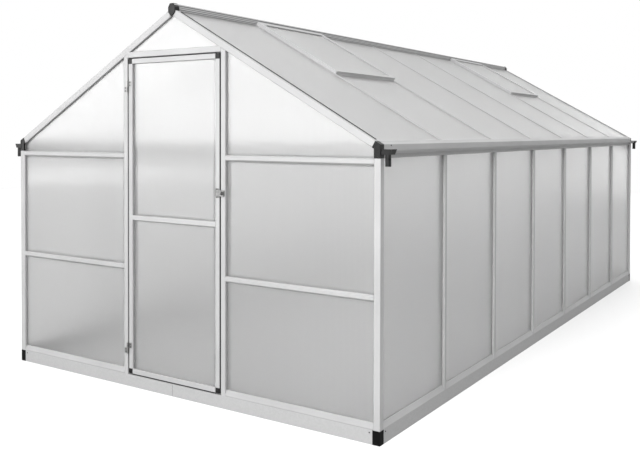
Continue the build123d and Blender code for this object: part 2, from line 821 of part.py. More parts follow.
with BuildPart() as door_corner_blocks:
    block_place = door_half - stile_face / 2
    with BuildSketch(Plane.XZ.offset(half_length)):
        for height in (door_bottom + stile_face / 2, door_top - stile_face / 2):
            with Locations((block_place, height)):
                Rectangle(stile_face, stile_face)
    extrude(amount=-door_depth)
    chamfer(door_corner_blocks.faces().sort_by(Axis.Y)[:2].edges(), edge_bevel)
    with BuildSketch(Plane.XZ.offset(half_length - door_inset + groove_play)):
        with Locations((0, (pane_foot + pane_head) / 2)):
            Rectangle(2 * (pane_half + edge_play), pane_head - pane_foot + 2 * edge_play)
    extrude(amount=-panel_thickness - 2 * groove_play, mode=Mode.SUBTRACT)
    mirror(about=Plane.YZ)
pieces["door_corner_blocks"] = door_corner_blocks.part

with BuildPart() as door_panes:
    pane_spans = ((pane_foot, door_mid_height - middle_bite), (door_mid_height + middle_bite, pane_head))
    for foot, head in pane_spans:
        with BuildSketch(Plane.XZ.offset(half_length - door_inset)):
            with Locations((0, (foot + head) / 2)):
                Rectangle(2 * pane_half, head - foot)
        extrude(amount=-panel_thickness)
pieces["door_panes"] = door_panes.part

# Lift-off hinges: the door's knuckle sits over the pin of the jamb's knuckle
axis_x = -door_half - door_side_gap / 2
axis_y = -half_length - knuckle_radius
leaf_y = -half_length - hinge_leaf_thickness / 2
hinge_heights = (door_bottom + low_hinge_offset, door_top - high_hinge_offset)

with BuildPart() as door_hinge_leaves:
    for height in hinge_heights:
        with BuildSketch(Plane.XY.offset(height + hinge_play)):
            with Locations((axis_x, axis_y)):
                Circle(knuckle_radius)
            with Locations((axis_x + hinge_leaf_width / 2, leaf_y)):
                Rectangle(hinge_leaf_width, hinge_leaf_thickness)
            with Locations((axis_x, axis_y)):
                Circle(hinge_pin_radius + hinge_play, mode=Mode.SUBTRACT)
        extrude(amount=knuckle_length)
pieces["door_hinge_leaves"] = door_hinge_leaves.part

with BuildPart() as jamb_hinge_leaves:
    for height in hinge_heights:
        with BuildSketch(Plane.XY.offset(height - hinge_play)):
            with Locations((axis_x, axis_y)):
                Circle(knuckle_radius)
            with Locations((axis_x - hinge_leaf_width / 2, leaf_y)):
                Rectangle(hinge_leaf_width, hinge_leaf_thickness)
        extrude(amount=-knuckle_length)
        with BuildSketch(Plane.XY.offset(height - hinge_play)):
            with Locations((axis_x, axis_y)):
                Circle(hinge_pin_radius)
        extrude(amount=knuckle_length)
pieces["jamb_hinge_leaves"] = jamb_hinge_leaves.part

# Hasp on the door, over a drilled tongue on the jamb
strap_start = door_half - stile_face / 2 - hasp_boss_width / 2
jamb_middle = opening_half + jamb_face / 2
strap_end = opening_half + jamb_face - edge_bevel

with BuildPart() as door_hasp:
    with BuildSketch(Plane.XZ.offset(half_length)):
        with Locations((door_half - stile_face / 2, hasp_height)):
            RectangleRounded(hasp_plate_width, hasp_plate_height, hasp_corner)
    extrude(amount=hasp_plate_thickness)
    with BuildSketch(Plane.XZ.offset(half_length + hasp_plate_thickness)):
        with Locations((door_half - stile_face / 2, hasp_height)):
            Rectangle(hasp_boss_width, hasp_boss_height)
    extrude(amount=hasp_stand_off - hasp_plate_thickness)
    with BuildSketch(Plane.XZ.offset(half_length + hasp_stand_off)):
        with Locations(((strap_start + strap_end) / 2, hasp_height)):
            RectangleRounded(strap_end - strap_start, hasp_strap_height, hasp_corner)
        with Locations((jamb_middle, hasp_height)):
            SlotOverall(hasp_slot_height, hasp_slot_width, rotation=90, mode=Mode.SUBTRACT)
    extrude(amount=hasp_strap_thickness)
pieces["door_hasp"] = door_hasp.part

with BuildPart() as jamb_keeper:
    with BuildSketch(Plane.XZ.offset(half_length)):
        with Locations((jamb_middle, hasp_height)):
            Rectangle(keeper_plate_width, keeper_plate_height)
    extrude(amount=hasp_plate_thickness)
    tongue_straight = tongue_reach - tongue_height / 2
    tip = (-half_length - tongue_straight, hasp_height)
    with BuildSketch(Plane.YZ.offset(jamb_middle - tongue_width / 2)):
        with Locations((-half_length - tongue_straight / 2, hasp_height)):
            Rectangle(tongue_straight, tongue_height)
        with Locations(tip):
            Circle(tongue_height / 2)
            Circle(tongue_hole, mode=Mode.SUBTRACT)
    extrude(amount=tongue_width)
pieces["jamb_keeper"] = jamb_keeper.part

for name, piece in pieces.items():
    piece.label = name
    export_step(piece, "parts/" + name + ".step")
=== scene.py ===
import math

import bpy
from mathutils import Matrix, Vector


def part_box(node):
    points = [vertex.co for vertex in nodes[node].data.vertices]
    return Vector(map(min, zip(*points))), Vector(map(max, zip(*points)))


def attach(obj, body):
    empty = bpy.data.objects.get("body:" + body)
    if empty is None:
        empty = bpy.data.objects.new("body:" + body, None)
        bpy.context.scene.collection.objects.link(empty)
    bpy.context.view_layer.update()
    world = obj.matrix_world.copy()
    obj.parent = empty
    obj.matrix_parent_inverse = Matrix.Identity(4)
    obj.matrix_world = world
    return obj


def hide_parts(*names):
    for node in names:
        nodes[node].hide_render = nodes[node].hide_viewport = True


# Gable greenhouse: fluted twin-wall sheets, seals and fasteners around the aluminium frame.
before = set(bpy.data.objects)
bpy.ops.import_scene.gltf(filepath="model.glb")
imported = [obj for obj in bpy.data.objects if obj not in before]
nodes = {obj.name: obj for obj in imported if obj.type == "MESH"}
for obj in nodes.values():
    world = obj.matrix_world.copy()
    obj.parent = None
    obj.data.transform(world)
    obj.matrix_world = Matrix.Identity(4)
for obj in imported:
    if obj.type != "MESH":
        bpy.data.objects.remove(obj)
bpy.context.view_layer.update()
print("frame loaded:", len(nodes), "nodes")

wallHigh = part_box("corner_posts")[1]      # outer faces of two walls; the other two mirror them
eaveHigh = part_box("right_eave_beam")[1]
rafterLow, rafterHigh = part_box("front_rafters")
doorLow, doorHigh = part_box("door_stiles")
weldDistance = 0.00002      # joins the doubled corners in a node's mesh
shadeAngle = 30      # degrees; sharper edges stay sharp
facesUp = 0.9      # least upward part of a normal on a top face


# Working helpers
def deselectAll():
    if bpy.context.object and bpy.context.object.mode != "OBJECT":
        bpy.ops.object.mode_set(mode="OBJECT")
    bpy.ops.object.select_all(action="DESELECT")


def pick(items):
    deselectAll()
    for item in items:
        item.select_set(True)
    bpy.context.view_layer.objects.active = items[0]


def selectInEdit(kind, test):
    piece = bpy.context.object
    bpy.ops.object.mode_set(mode="EDIT")
    bpy.ops.mesh.select_mode(type=kind)
    bpy.ops.mesh.select_all(action="DESELECT")
    bpy.ops.object.mode_set(mode="OBJECT")
    rows = {"VERT": piece.data.vertices, "EDGE": piece.data.edges, "FACE": piece.data.polygons}[kind]
    for row in rows:
        row.select = test(row)
    bpy.ops.object.mode_set(mode="EDIT")


def selectTop():
    selectInEdit("FACE", lambda face: face.normal.z > facesUp)


def startCube(size, middle=(0, 0, 0)):
    # a block of this size at its place, left in edit mode
    deselectAll()
    bpy.ops.mesh.primitive_cube_add(size=1)
    bpy.ops.object.mode_set(mode="EDIT")
    bpy.ops.transform.resize(value=size)
    bpy.ops.transform.translate(value=middle)
    return bpy.context.object


def startCylinder(sides, radius, height, base=0):
    # an upright round or many-sided block that stands at the height of its base
    deselectAll()
    bpy.ops.mesh.primitive_cylinder_add(
        vertices=sides, radius=radius, depth=height, location=(0, 0, base + height / 2)
    )
    bpy.ops.object.transform_apply(location=True, rotation=True, scale=True)


def applyAll():
    piece = bpy.context.object
    bpy.ops.object.mode_set(mode="OBJECT")
    for modifier in list(piece.modifiers):
        bpy.ops.object.modifier_apply(modifier=modifier.name)
    bpy.ops.object.transform_apply(location=True, rotation=True, scale=True)
    return piece


def joinAll(items, name):
    pick(items)
    if len(items) > 1:
        bpy.ops.object.join()
    piece = bpy.context.object
    piece.name = name
    piece.data.name = name
    return piece


def removeAll(items):
    for item in items:
        bpy.data.objects.remove(item)


def loosePartsOf(nodeName):
    # copies of a node's separate solids, to measure
    deselectAll()
    copied = nodes[nodeName].copy()
    copied.data = nodes[nodeName].data.copy()
    copied.parent = None
    bpy.context.collection.objects.link(copied)
    pick([copied])
    bpy.ops.object.mode_set(mode="EDIT")
    bpy.ops.mesh.select_all(action="SELECT")
    bpy.ops.mesh.remove_doubles(threshold=weldDistance)
    bpy.ops.mesh.separate(type="LOOSE")
    bpy.ops.object.mode_set(mode="OBJECT")
    return list(bpy.context.selected_objects)


def boxOf(spots):
    low = Vector([min(spot[i] for spot in spots) for i in range(3)])
    high = Vector([max(spot[i] for spot in spots) for i in range(3)])
    return low, high


def partBoxes(nodeName):
    parts = loosePartsOf(nodeName)
    boxes = [boxOf([vertex.co for vertex in part.data.vertices]) for part in parts]
    removeAll(parts)
    return boxes


# Shared shader effects
lineFine, lineLong = 900, 5      # lines lie close across a bar and run far along it
dieStretch = dict(
    x=(lineLong, lineFine, lineFine), y=(lineFine, lineLong, lineFine), z=(lineFine, lineFine, lineLong),
)
straight = (0, 0, 0)
dieLook = dict(lineScale=1.0, lineDetail=3.0, cloudSize=4.0, cloudDetail=4.0)
grainLook = dict(size=900.0, scuffSize=45.0, scuffDetail=6.0)
patternSpan = (0.3, 0.7)      # middle of a pattern, where most of a noise lies


def newGroup(name, inputs, outputs):
    group = bpy.data.node_groups.new(name, "ShaderNodeTree")
    for label, kind, value in inputs:
        socket = group.interface.new_socket(label, in_out="INPUT", socket_type=kind)
        socket.default_value = value
    for label, kind in outputs:
        group.interface.new_socket(label, in_out="OUTPUT", socket_type=kind)
    return group, group.nodes.new("NodeGroupInput"), group.nodes.new("NodeGroupOutput")


def dieLinesGroup():
    # Fine lines that the extrusion die leaves along a bar, and slow cloudy patches
    group, given, out = newGroup(
        "dieLines",
        [("Stretch", "NodeSocketVector", dieStretch["z"]), ("Turn", "NodeSocketVector", straight),
         ("Cloud Size", "NodeSocketFloat", dieLook["cloudSize"])],
        [("Lines", "NodeSocketFloat"), ("Cloud", "NodeSocketFloat")],
    )
    tree, link = group.nodes, group.links.new
    place = tree.new("ShaderNodeTexCoord")
    turned = tree.new("ShaderNodeMapping")
    link(place.outputs["Object"], turned.inputs["Vector"])
    link(given.outputs["Turn"], turned.inputs["Rotation"])
    stretched = tree.new("ShaderNodeMapping")
    link(turned.outputs["Vector"], stretched.inputs["Vector"])
    link(given.outputs["Stretch"], stretched.inputs["Scale"])
    lines = tree.new("ShaderNodeTexNoise")
    lines.inputs["Scale"].default_value = dieLook["lineScale"]
    lines.inputs["Detail"].default_value = dieLook["lineDetail"]
    link(stretched.outputs["Vector"], lines.inputs["Vector"])
    cloud = tree.new("ShaderNodeTexNoise")
    cloud.inputs["Detail"].default_value = dieLook["cloudDetail"]
    link(place.outputs["Object"], cloud.inputs["Vector"])
    link(given.outputs["Cloud Size"], cloud.inputs["Scale"])
    link(lines.outputs["Fac"], out.inputs["Lines"])
    link(cloud.outputs["Fac"], out.inputs["Cloud"])
    return group


def fineGrainGroup():
    # Pebbled grain of moulded plastic and of rubber
    group, given, out = newGroup(
        "fineGrain",
        [("Grain Size", "NodeSocketFloat", grainLook["size"])],
        [("Grain", "NodeSocketFloat"), ("Scuff", "NodeSocketFloat")],
    )
    tree, link = group.nodes, group.links.new
    place = tree.new("ShaderNodeTexCoord")
    grain = tree.new("ShaderNodeTexVoronoi")
    link(place.outputs["Object"], grain.inputs["Vector"])
    link(given.outputs["Grain Size"], grain.inputs["Scale"])
    scuff = tree.new("ShaderNodeTexNoise")
    scuff.inputs["Scale"].default_value = grainLook["scuffSize"]
    scuff.inputs["Detail"].default_value = grainLook["scuffDetail"]
    link(place.outputs["Object"], scuff.inputs["Vector"])
    link(grain.outputs["Distance"], out.inputs["Grain"])
    link(scuff.outputs["Fac"], out.inputs["Scuff"])
    return group


dieLines = dieLinesGroup()
fineGrain = fineGrainGroup()


def newMaterial(name):
    material = bpy.data.materials.new(name)
    material.use_nodes = True
    tree = material.node_tree
    return material, tree, tree.nodes["Principled BSDF"]


def groupNode(tree, group):
    node = tree.nodes.new("ShaderNodeGroup")
    node.node_tree = group
    return node


def patternNode(tree, kind, scale):
    place = tree.nodes.new("ShaderNodeTexCoord")
    pattern = tree.nodes.new(kind)
    pattern.inputs["Scale"].default_value = scale
    tree.links.new(place.outputs["Object"], pattern.inputs["Vector"])
    return pattern


def paint(tree, shader, pattern, dark, light):
    # colour from dark to light, across the middle of a pattern
    ramp = tree.nodes.new("ShaderNodeValToRGB")
    for element, position, color in zip(ramp.color_ramp.elements, patternSpan, (dark, light)):
        element.position = position
        element.color = (*color, 1)
    tree.links.new(pattern, ramp.inputs["Fac"])
    tree.links.new(ramp.outputs["Color"], shader.inputs["Base Color"])


def polish(tree, shader, pattern, finish):
    # roughness in a narrow range, across the middle of a pattern
    node = tree.nodes.new("ShaderNodeMapRange")
    node.inputs["From Min"].default_value = patternSpan[0]
    node.inputs["From Max"].default_value = patternSpan[1]
    node.inputs["To Min"].default_value = finish["roughLow"]
    node.inputs["To Max"].default_value = finish["roughHigh"]
    tree.links.new(pattern, node.inputs["Value"])
    tree.links.new(node.outputs["Result"], shader.inputs["Roughness"])


def emboss(tree, shader, pattern, strength, depth):
    bump = tree.nodes.new("ShaderNodeBump")
    bump.inputs["Strength"].default_value = strength
    bump.inputs["Distance"].default_value = depth
    tree.links.new(pattern, bump.inputs["Height"])
    tree.links.new(bump.outputs["Normal"], shader.inputs["Normal"])


def lifted(color, lift):
    return [channel * lift for channel in color]


# the sash factor makes the vent sashes lighter, as painted light; the sill factor makes the sills darker,
# as painted shade
metalFinish = dict(
    dark=(0.375, 0.375, 0.377), light=(0.42, 0.42, 0.422), sashPaintedLight=1.12, sillPaintedShade=0.82,
    roughLow=0.44, roughHigh=0.56, metallic=0.28, lineBump=0.12, lineDepth=0.0002,
)
# ridge beam: its grooves are painted shade, dark level lines in the metal's colour
ridgeGrooveShadeFinish = dict(metalFinish, dark=(0.20, 0.20, 0.202), light=(0.48, 0.48, 0.482), grooveShadeScale=35.0)


def barMetal(name, stretch, turn=straight, lift=1.0, finish=metalFinish):
    material, tree, shader = newMaterial(name)
    lines = groupNode(tree, dieLines)
    lines.inputs["Stretch"].default_value = stretch
    lines.inputs["Turn"].default_value = turn
    shader.inputs["Metallic"].default_value = finish["metallic"]
    pattern = lines.outputs["Cloud"]
    if "grooveShadeScale" in finish:      # painted groove shade: level dark lines, one above the other
        grooveShade = patternNode(tree, "ShaderNodeTexWave", finish["grooveShadeScale"])
        grooveShade.bands_direction = "Z"
        pattern = grooveShade.outputs["Fac"]
    # a lift above 1 paints light on this copy of the metal, one below 1 paints shade
    paint(tree, shader, pattern, lifted(finish["dark"], lift), lifted(finish["light"], lift))
    polish(tree, shader, lines.outputs["Lines"], finish)
    emboss(tree, shader, lines.outputs["Lines"], finish["lineBump"], finish["lineDepth"])
    return material


steelFinish = dict(
    dark=(0.385, 0.385, 0.387), light=(0.405, 0.405, 0.407), metallic=0.32,
    spangleSize=150.0, roughLow=0.48, roughHigh=0.56,
)


def galvanisedSteel():
    material, tree, shader = newMaterial("galvanisedSteel")
    spangle = patternNode(tree, "ShaderNodeTexVoronoi", steelFinish["spangleSize"])
    flakes = tree.nodes.new("ShaderNodeSeparateColor")
    tree.links.new(spangle.outputs["Color"], flakes.inputs["Color"])
    paint(tree, shader, flakes.outputs["Red"], steelFinish["dark"], steelFinish["light"])
    polish(tree, shader, flakes.outputs["Green"], steelFinish)
    shader.inputs["Metallic"].default_value = steelFinish["metallic"]
    return material


capFinish = dict(
    dark=(0.006, 0.006, 0.006), light=(0.014, 0.014, 0.014), roughLow=0.26, roughHigh=0.42,
    grainSize=700.0, grainBump=0.15, grainDepth=0.0004, shine=0.24,
)
blockFinish = dict(
    capFinish, dark=(0.003, 0.003, 0.003), light=(0.005, 0.005, 0.005), roughLow=0.40, roughHigh=0.55,
    shine=0.06,
)
sealFinish = dict(
    capFinish, dark=(0.010, 0.010, 0.010), light=(0.020, 0.020, 0.020), roughLow=0.60, roughHigh=0.80,
    grainSize=1400.0, shine=0.13,
)


def blackMoulded(name, finish):
    material, tree, shader = newMaterial(name)
    grain = groupNode(tree, fineGrain)
    grain.inputs["Grain Size"].default_value = finish["grainSize"]
    paint(tree, shader, grain.outputs["Scuff"], finish["dark"], finish["light"])
    polish(tree, shader, grain.outputs["Scuff"], finish)
    emboss(tree, shader, grain.outputs["Grain"], finish["grainBump"], finish["grainDepth"])
    shader.inputs["Specular IOR Level"].default_value = finish["shine"]
    return material


zincFinish = dict(
    dark=(0.20, 0.20, 0.20), light=(0.34, 0.34, 0.335), screwLift=0.35, seamLift=0.6,
    roughLow=0.26, roughHigh=0.42, metallic=1.0, stretch=(240, 240, 240), cloudSize=60.0,
)


def zincPlate(name, lift=1.0):
    material, tree, shader = newMaterial(name)
    lines = groupNode(tree, dieLines)
    lines.inputs["Stretch"].default_value = zincFinish["stretch"]
    lines.inputs["Cloud Size"].default_value = zincFinish["cloudSize"]
    dark, light = lifted(zincFinish["dark"], lift), lifted(zincFinish["light"], lift)
    paint(tree, shader, lines.outputs["Cloud"], dark, light)
    polish(tree, shader, lines.outputs["Lines"], zincFinish)
    shader.inputs["Metallic"].default_value = zincFinish["metallic"]
    return material


# the same polycarbonate in two colours: the gable sheets' darker colour is painted shade, the wall and
# roof sheets' lighter colour is painted light
sheetFinish = dict(
    ribScale=52.4, rough=0.42, transmission=0.92, ior=1.25, coat=1.0,
    gable=dict(web=(0.68, 0.68, 0.68), clear=(0.75, 0.75, 0.75), coatRough=0.06, coatIor=1.75),
    wall=dict(web=(0.75, 0.75, 0.75), clear=(0.82, 0.82, 0.82), coatRough=0.22, coatIor=1.5),
)


def twinWall(name, across, skin):
    # milky sheet with the webs between its two skins showing as faint lines
    material, tree, shader = newMaterial(name)
    ribs = patternNode(tree, "ShaderNodeTexWave", sheetFinish["ribScale"])
    ribs.bands_direction = across
    paint(tree, shader, ribs.outputs["Fac"], skin["web"], skin["clear"])
    shader.inputs["Roughness"].default_value = sheetFinish["rough"]
    shader.inputs["IOR"].default_value = sheetFinish["ior"]
    shader.inputs["Transmission Weight"].default_value = sheetFinish["transmission"]
    shader.inputs["Coat Weight"].default_value = sheetFinish["coat"]
    shader.inputs["Coat Roughness"].default_value = skin["coatRough"]
    shader.inputs["Coat IOR"].default_value = skin["coatIor"]
    return material


roofPitch = math.atan2(rafterHigh.z - rafterLow.z, rafterHigh.x)      # near enough for the lines
barMetalX = barMetal("barMetalAcross", dieStretch["x"])
barMetalY = barMetal("barMetalLengthwise", dieStretch["y"])
barMetalZ = barMetal("barMetalUpright", dieStretch["z"])
barMetalRight = barMetal("barMetalRightSlope", dieStretch["x"], (0, -roofPitch, 0))
barMetalLeft = barMetal("barMetalLeftSlope", dieStretch["x"], (0, roofPitch, 0))
# vent sashes: the bar metal made lighter, painted light
sashMetalPaintedLight = barMetal("sashMetalPaintedLightLengthwise", dieStretch["y"], lift=metalFinish["sashPaintedLight"])
# sills: the bar metal made darker, painted shade
sillMetalPaintedShade = barMetal("sillMetalPaintedShadeAcross", dieStretch["x"], lift=metalFinish["sillPaintedShade"])
# ridge beam metal with painted groove shade
ridgeMetalGrooveShade = barMetal("ridgeMetalGrooveShade", dieStretch["y"], finish=ridgeGrooveShadeFinish)
baseMetal = galvanisedSteel()
capPlastic = blackMoulded("capPlastic", capFinish)
blockPlastic = blackMoulded("blockPlastic", blockFinish)
sealRubber = blackMoulded("sealRubber", sealFinish)
zincHardware = zincPlate("zincHardware")
screwSteel = zincPlate("screwSteel", zincFinish["screwLift"])
seamMetal = zincPlate("seamMetal", zincFinish["seamLift"])
# sheets on the gables and door are darker, painted shade; sheets on walls, roof and vents are lighter,
# painted light
gableSheetPaintedShade = twinWall("gableSheetPaintedShade", "X", sheetFinish["gable"])
wallSheetPaintedLight = twinWall("wallSheetPaintedLight", "Y", sheetFinish["wall"])

finishOf = {
    barMetalX: ["door_head", "front_rails", "rear_rails", "door_rails"],
    sillMetalPaintedShade: ["front_sills", "rear_sill"],
    barMetalY: ["left_sill", "right_sill", "left_eave_beam", "right_eave_beam", "left_vent_sills",
                "right_vent_sills"],
    ridgeMetalGrooveShade: ["ridge_beam"],
    sashMetalPaintedLight: ["left_vent_sashes", "right_vent_sashes"],
    barMetalZ: ["corner_posts", "left_wall_bars", "right_wall_bars", "door_jambs", "rear_posts",
                "door_stiles"],
    barMetalRight: ["right_roof_bars"],
    barMetalLeft: ["left_roof_bars", "front_rafters", "rear_rafters"],
    baseMetal: ["base_front", "base_rear", "base_left", "base_right"],
    capPlastic: ["eave_end_caps", "gutter_outlets", "gutter_spouts", "ridge_end_caps",
                 "door_corner_blocks"],
    blockPlastic: ["base_corner_blocks"],
    zincHardware: ["door_hinge_leaves", "jamb_hinge_leaves", "door_hasp", "jamb_keeper"],
}
for material, names in finishOf.items():
    for name in names:
        nodes[name].data.materials.clear()
        nodes[name].data.materials.append(material)
print("materials ready:", len(bpy.data.materials))


# Twin-wall sheets: each sheet of the frame is rebuilt with its flutes, in the same place
sheetShape = dict(flutePitch=0.006, pillow=0.00016, middleHeight=0.9)


def sheetFrame(part):
    # where the flat sheet goes, its size, and the outline of its outer face
    spots = [vertex.co.copy() for vertex in part.data.vertices]
    widest = max(part.data.polygons, key=lambda face: face.area)
    outward = widest.normal.copy()
    middle = sum(spots, Vector()) / len(spots)
    if outward.dot(middle - Vector((0, 0, sheetShape["middleHeight"]))) < 0:
        outward.negate()
    upward = (Vector((0, 0, 1)) - outward * outward.z).normalized()
    sideways = upward.cross(outward)
    turned = [Vector((s.dot(sideways), s.dot(upward), s.dot(outward))) for s in spots]
    low, high = boxOf(turned)
    centre = (high + low) / 2
    rim = [t - centre for t in turned if t.z > centre.z]
    rim.sort(key=lambda t: math.atan2(t.y, t.x))
    turn = Matrix((sideways, upward, outward)).transposed().to_4x4()
    return turn @ Matrix.Translation(centre), high - low, rim


def flutedFace(size):
    # one face of the sheet, with every second column sunk between the webs
    columns = 2 * round(size.x / sheetShape["flutePitch"])
    bpy.ops.mesh.primitive_grid_add(x_subdivisions=columns, y_subdivisions=1, size=1)
    bpy.ops.object.mode_set(mode="EDIT")
    bpy.ops.transform.resize(value=(size.x, size.y, 1))
    bpy.ops.transform.translate(value=(0, 0, size.z / 2))
    selectInEdit("VERT", lambda v: round((v.co.x / size.x + 0.5) * columns) % 2 == 1)
    bpy.ops.transform.translate(value=(0, 0, -sheetShape["pillow"]))


def cutSlopes(rim, thick):
    # sloping edges under the rafters
    for first, second in zip(rim, rim[1:] + rim[:1]):
        run = second - first
        if abs(run.x) > thick and abs(run.y) > thick:
            bpy.ops.mesh.select_all(action="SELECT")
            bpy.ops.mesh.bisect(
                plane_co=(first.x, first.y, 0), plane_no=(run.y, -run.x, 0), clear_outer=True
            )


def closeSheet():
    # the other face, and the edges between the two
    bpy.ops.object.mode_set(mode="OBJECT")
    twin = bpy.context.object.modifiers.new("otherFace", "MIRROR")
    twin.use_axis = (False, False, True)
    twin.use_mirror_merge = False
    bpy.ops.object.modifier_apply(modifier=twin.name)
    bpy.ops.object.mode_set(mode="EDIT")
    bpy.ops.mesh.select_mode(type="EDGE")
    bpy.ops.mesh.select_all(action="DESELECT")
    bpy.ops.mesh.select_non_manifold(
        extend=False, use_wire=False, use_boundary=True, use_multi_face=False,
        use_non_contiguous=False, use_verts=False,
    )
    bpy.ops.mesh.bridge_edge_loops()
    bpy.ops.mesh.select_all(action="SELECT")
    bpy.ops.mesh.normals_make_consistent(inside=False)
    bpy.ops.object.mode_set(mode="OBJECT")


def flutedSheet(part):
    deselectAll()
    place, size, rim = sheetFrame(part)
    flutedFace(size)
    cutSlopes(rim, size.z)
    closeSheet()
    bpy.context.object.matrix_world = place
    return applyAll()


def flutedSheets(nodeName, name, body, material):
    parts = loosePartsOf(nodeName)
    sheets = [flutedSheet(part) for part in parts]
    removeAll(parts)
    piece = joinAll(sheets, name)
    bpy.ops.object.shade_smooth_by_angle(angle=math.radians(shadeAngle))
    piece.data.materials.clear()
    piece.data.materials.append(material)
    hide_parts(nodeName)
    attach(piece, body)


sheetPlan = [
    ("front_wall_panels", "frontWallSheets", "frame", gableSheetPaintedShade),
    ("front_gable_panels", "frontGableSheets", "frame", gableSheetPaintedShade),
    ("rear_wall_panels", "rearWallSheets", "frame", gableSheetPaintedShade),
    ("rear_gable_panels", "rearGableSheets", "frame", gableSheetPaintedShade),
    ("door_panes", "doorSheets", "door", gableSheetPaintedShade),
    ("left_wall_panels", "leftWallSheets", "frame", wallSheetPaintedLight),
    ("right_wall_panels", "rightWallSheets", "frame", wallSheetPaintedLight),
    ("left_roof_panels", "leftRoofSheets", "frame", wallSheetPaintedLight),
    ("right_roof_panels", "rightRoofSheets", "frame", wallSheetPaintedLight),
    ("left_vent_panes", "leftVentSheets", "frame", wallSheetPaintedLight),
    ("right_vent_panes", "rightVentSheets", "frame", wallSheetPaintedLight),
]
for nodeName, name, body, material in sheetPlan:
    flutedSheets(nodeName, name, body, material)
print("twin-wall sheets done:", len(sheetPlan), "pieces")


# Rubber seals in the gaps around the door leaf
sealShape = dict(sideLip=0.005, endLip=0.004, depth=0.0095, setBack=0.0015, corner=0.001, round=0.0014)


def sealStrip(low, high, axis, tip):
    # a strip at its place, its free edge rounded
    size = high - low
    piece = startCube(size, (high + low) / 2)

    def freeEdge(edge):
        ends = [piece.data.vertices[i].co for i in edge.vertices]
        onTip = all(abs(end[axis] - tip) < sealShape["round"] for end in ends)
        return onTip and (ends[0] - ends[1]).length > max(size) / 2

    selectInEdit("EDGE", freeEdge)
    bpy.ops.mesh.bevel(offset=sealShape["round"], segments=3, affect="EDGES")
    return applyAll()


def doorSeals():
    front = doorLow.y + sealShape["setBack"]
    back = front + sealShape["depth"]
    leafLow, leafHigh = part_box("door_corner_blocks")
    bottom = leafLow.z + sealShape["corner"]
    top = leafHigh.z - sealShape["corner"]
    railLow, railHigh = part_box("door_rails")
    strips = []
    for edge, outward in ((doorHigh.x, 1), (doorLow.x, -1)):
        tip = edge + outward * sealShape["sideLip"]
        low = Vector((min(edge, tip), front, bottom))
        high = Vector((max(edge, tip), back, top))
        strips.append(sealStrip(low, high, 0, tip))
    for edge, outward in ((railHigh.z, 1), (railLow.z, -1)):
        tip = edge + outward * sealShape["endLip"]
        low = Vector((railLow.x, front, min(edge, tip)))
        high = Vector((railHigh.x, back, max(edge, tip)))
        strips.append(sealStrip(low, high, 2, tip))
    piece = joinAll(strips, "doorSeals")
    bpy.ops.object.shade_smooth_by_angle(angle=math.radians(shadeAngle))
    piece.data.materials.append(sealRubber)
    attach(piece, "door")


doorSeals()
print("door seals done")


# Rubber strip on each rafter, along the edge that holds the roof sheet; its black also paints the shadow
# line where the sheet meets the rafter
stripShape = dict(width=0.010, proud=0.0016, sunk=0.0001, endGap=0.012, round=0.0004, steepest=0.5)


def rafterSealShadeStrip(part, inward):
    upward = [face for face in part.data.polygons if face.normal.z > stripShape["steepest"]]
    top = max(upward, key=lambda face: face.area)
    normal = top.normal.copy()
    across = Vector((0, 1, 0))
    downhill = across.cross(normal)
    spots = [part.data.vertices[i].co.copy() for i in top.vertices]
    runs = [spot.dot(downhill) for spot in spots]
    edge = max(spot.y * inward for spot in spots) * inward
    length = max(runs) - min(runs) - 2 * stripShape["endGap"]
    thick = stripShape["proud"] + stripShape["sunk"]
    startCube((length, stripShape["width"], thick))
    bpy.ops.mesh.bevel(offset=stripShape["round"], segments=2, affect="EDGES")
    bpy.ops.object.mode_set(mode="OBJECT")
    middle = downhill * (max(runs) + min(runs)) / 2 + across * (edge - inward * stripShape["width"] / 2)
    middle += normal * (spots[0].dot(normal) + thick / 2 - stripShape["sunk"])
    turn = Matrix((downhill, across, normal)).transposed().to_4x4()
    bpy.context.object.matrix_world = Matrix.Translation(middle) @ turn
    return applyAll()


def rafterSealShadeStrips():
    strips = []
    for nodeName, inward in (("front_rafters", 1), ("rear_rafters", -1)):
        parts = loosePartsOf(nodeName)
        strips += [rafterSealShadeStrip(part, inward) for part in parts]
        removeAll(parts)
    piece = joinAll(strips, "rafterSealShadeStrips")
    piece.data.materials.append(sealRubber)
    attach(piece, "frame")


rafterSealShadeStrips()
print("rafter strips done")


# Screws: one domed head with a socket, copied to every place
screwShape = dict(
    radius=0.0034, height=0.0014, sides=18, domeInset=0.0011, domeRise=0.0009, shadeAngle=40,
    socketInset=0.0010, socketEdge=0.0002, socketDepth=0.0009,
    leafPlate=0.002, leafEdge=0.0075, leafSpread=0.0075, haspEdge=0.011, haspSpread=0.019,
    baseEnd=0.050, baseHeight=0.050, eaveEnd=0.062, eaveDrop=0.0185,
)


def screwHead():
    startCylinder(screwShape["sides"], screwShape["radius"], screwShape["height"])
    selectTop()
    bpy.ops.mesh.inset(thickness=screwShape["domeInset"], depth=screwShape["domeRise"])
    bpy.ops.mesh.inset(thickness=screwShape["socketInset"], depth=0)
    bpy.ops.mesh.inset(thickness=screwShape["socketEdge"], depth=-screwShape["socketDepth"])
    piece = applyAll()
    bpy.ops.object.shade_smooth_by_angle(angle=math.radians(screwShape["shadeAngle"]))
    return piece


def copyTo(original, places, name, body, material):
    copies = []
    for spot, towards in places:
        copied = original.copy()
        copied.data = original.data.copy()
        bpy.context.collection.objects.link(copied)
        turn = Vector(towards).to_track_quat("Z", "Y").to_matrix().to_4x4()
        copied.matrix_world = Matrix.Translation(spot) @ turn
        copies.append(copied)
    piece = joinAll(copies, name)
    bpy.ops.object.transform_apply(location=True, rotation=True, scale=True)
    piece.data.materials.append(material)
    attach(piece, body)


